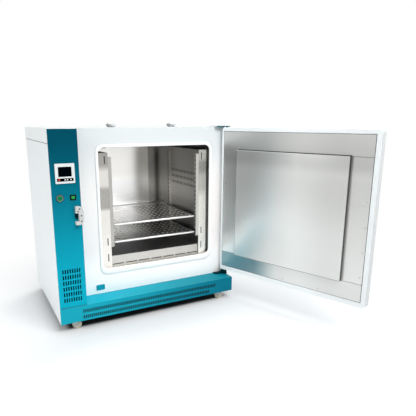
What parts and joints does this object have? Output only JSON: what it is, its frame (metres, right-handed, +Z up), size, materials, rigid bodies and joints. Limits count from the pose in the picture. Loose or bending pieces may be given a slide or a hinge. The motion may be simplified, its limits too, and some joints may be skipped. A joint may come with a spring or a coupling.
{
  "type": "laboratory drying oven",
  "caption": "Heated chamber cabinet on casters for drying samples, with a side-hinged insulated door, sliding shelves and a control column.",
  "frame": {"origin": "on the floor, in the middle of the footprint with the door standing open as drawn", "axes": "+X to the right when facing the oven, +Y from front to back, +Z up"},
  "size_m": [1.1564, 1.218, 0.856],
  "materials": {
    "teal_paint": "gloss enamel",
    "white_paint": "satin enamel",
    "zinc_steel": "zinc plated",
    "stainless": "brushed",
    "mineral_wool": "matt",
    "white_rubber": "satin",
    "chrome": "polished",
    "black_plastic": "gloss",
    "white_plastic": "satin",
    "red_plastic": "gloss",
    "green_plastic": "gloss",
    "grey_plastic": "satin",
    "caster_plastic": "satin",
    "heater_sheath": "oxidised",
    "motor_paint": "satin"
  },
  "bodies": {
    "cabinet": {"base_frame": "zinc_steel", "base_cover": "teal_paint", "column_cover": "teal_paint", "left_side_panel": "white_paint", "right_side_panel": "white_paint", "rear_panel": "white_paint", "top_cover": "white_paint", "front_panel": "white_paint", "bay_partition": "zinc_steel", "insulation_jacket": "mineral_wool", "chamber_liner": "stainless", "mouth_gasket": "white_rubber", "duct_left": "stainless", "duct_right": "stainless", "floor_cover": "stainless", "shelf_upright_front_left": "stainless", "shelf_upright_front_right": "stainless", "shelf_upright_rear_left": "stainless", "shelf_upright_rear_right": "stainless", "shelf_rail_upper_left": "stainless", "shelf_rail_upper_right": "stainless", "shelf_rail_lower_left": "stainless", "shelf_rail_lower_right": "stainless", "heater_element": "heater_sheath", "fan_motor": "motor_paint", "temperature_probe": "stainless", "controller_body": "white_plastic", "display_insert": "black_plastic", "button_bezel": "chrome", "rocker_frame": "black_plastic", "latch_keeper": "chrome", "hinge_bracket_top": "teal_paint", "hinge_bracket_bottom": "teal_paint", "mains_inlet": "black_plastic"},
    "door": {"door_shell": "white_paint", "door_liner_frame": "stainless", "door_plug": "stainless", "door_insulation": "mineral_wool", "handle_base": "chrome"},
    "handle": {"handle_lever": "black_plastic"},
    "shelf_upper": {"shelf_upper": "stainless"},
    "shelf_lower": {"shelf_lower": "stainless"},
    "button": {"button_cap": "green_plastic"},
    "rocker": {"rocker_paddle": "green_plastic"},
    "blower": {"blower_wheel": "stainless"},
    "vent_left": {"vent_cap_left": "grey_plastic"},
    "vent_right": {"vent_cap_right": "grey_plastic"},
    "key_set": {"key_set": "red_plastic"},
    "key_shift": {"key_shift": "white_plastic"},
    "key_down": {"key_down": "white_plastic"},
    "key_up": {"key_up": "white_plastic"},
    "fork_front_left": {"caster_fork_front_left": "zinc_steel"},
    "wheel_front_left": {"caster_wheel_front_left": "caster_plastic"},
    "fork_front_right": {"caster_fork_front_right": "zinc_steel"},
    "wheel_front_right": {"caster_wheel_front_right": "caster_plastic"},
    "fork_rear_left": {"caster_fork_rear_left": "zinc_steel"},
    "wheel_rear_left": {"caster_wheel_rear_left": "caster_plastic"},
    "fork_rear_right": {"caster_fork_rear_right": "zinc_steel"},
    "wheel_rear_right": {"caster_wheel_rear_right": "caster_plastic"}
  },
  "joints": [
    {"name": "door_hinge", "type": "hinge", "parent": "cabinet", "child": "door", "pos_m": [0.25584, 0.07296, 0.48], "axis": [0, 0, 1], "range_deg": [-109.8, 15]},
    {"name": "handle_turn", "type": "hinge", "parent": "door", "child": "handle", "pos_m": [0.54747, -0.54223, 0.5025], "axis": [0.9409, 0.3387, 0], "range_deg": [-90, 0]},
    {"name": "upper_shelf_slide", "type": "slide", "parent": "cabinet", "child": "shelf_upper", "axis": [0, -1, 0], "range_m": [0, 0.3]},
    {"name": "lower_shelf_slide", "type": "slide", "parent": "cabinet", "child": "shelf_lower", "axis": [0, -1, 0], "range_m": [0, 0.3]},
    {"name": "key_set_press", "type": "slide", "parent": "cabinet", "child": "key_set", "axis": [0, 1, 0], "range_m": [0, 0.0008], "stiffness_N_per_m": 300, "springref_m": -0.0005},
    {"name": "key_shift_press", "type": "slide", "parent": "cabinet", "child": "key_shift", "axis": [0, 1, 0], "range_m": [0, 0.0008], "stiffness_N_per_m": 300, "springref_m": -0.0005},
    {"name": "key_down_press", "type": "slide", "parent": "cabinet", "child": "key_down", "axis": [0, 1, 0], "range_m": [0, 0.0008], "stiffness_N_per_m": 300, "springref_m": -0.0005},
    {"name": "key_up_press", "type": "slide", "parent": "cabinet", "child": "key_up", "axis": [0, 1, 0], "range_m": [0, 0.0008], "stiffness_N_per_m": 300, "springref_m": -0.0005},
    {"name": "button_press", "type": "slide", "parent": "cabinet", "child": "button", "axis": [0, 1, 0], "range_m": [0, 0.003], "stiffness_N_per_m": 400, "springref_m": -0.002},
    {"name": "rocker_tilt", "type": "hinge", "parent": "cabinet", "child": "rocker", "pos_m": [-0.49666, 0.00996, 0.575], "axis": [0, 0, 1], "range_deg": [-4, 4]},
    {"name": "blower_spin", "type": "hinge", "parent": "cabinet", "child": "blower", "pos_m": [-0.49986, 0.33696, 0.516], "axis": [1, 0, 0], "continuous": true},
    {"name": "vent_left_turn", "type": "hinge", "parent": "cabinet", "child": "vent_left", "pos_m": [-0.24566, 0.27196, 0.84], "axis": [0, 0, 1], "range_deg": [0, 90]},
    {"name": "vent_right_turn", "type": "hinge", "parent": "cabinet", "child": "vent_right", "pos_m": [0.05834, 0.27196, 0.84], "axis": [0, 0, 1], "range_deg": [0, 90]},
    {"name": "caster_front_left_swivel", "type": "hinge", "parent": "cabinet", "child": "fork_front_left", "pos_m": [-0.51416, 0.04896, 0.05], "axis": [0, 0, 1], "continuous": true},
    {"name": "caster_front_left_roll", "type": "hinge", "parent": "fork_front_left", "child": "wheel_front_left", "pos_m": [-0.50529, 0.04434, 0.02], "axis": [0.4617, 0.887, 0], "continuous": true},
    {"name": "caster_front_right_swivel", "type": "hinge", "parent": "cabinet", "child": "fork_front_right", "pos_m": [0.19584, 0.04896, 0.05], "axis": [0, 0, 1], "continuous": true},
    {"name": "caster_front_right_roll", "type": "hinge", "parent": "fork_front_right", "child": "wheel_front_right", "pos_m": [0.20471, 0.04434, 0.02], "axis": [0.4617, 0.887, 0], "continuous": true},
    {"name": "caster_rear_left_swivel", "type": "hinge", "parent": "cabinet", "child": "fork_rear_left", "pos_m": [-0.51416, 0.52596, 0.05], "axis": [0, 0, 1], "continuous": true},
    {"name": "caster_rear_left_roll", "type": "hinge", "parent": "fork_rear_left", "child": "wheel_rear_left", "pos_m": [-0.50529, 0.52134, 0.02], "axis": [0.4617, 0.887, 0], "continuous": true},
    {"name": "caster_rear_right_swivel", "type": "hinge", "parent": "cabinet", "child": "fork_rear_right", "pos_m": [0.19584, 0.52596, 0.05], "axis": [0, 0, 1], "continuous": true},
    {"name": "caster_rear_right_roll", "type": "hinge", "parent": "fork_rear_right", "child": "wheel_rear_right", "pos_m": [0.20471, 0.52134, 0.02], "axis": [0.4617, 0.887, 0], "continuous": true}
  ]
}
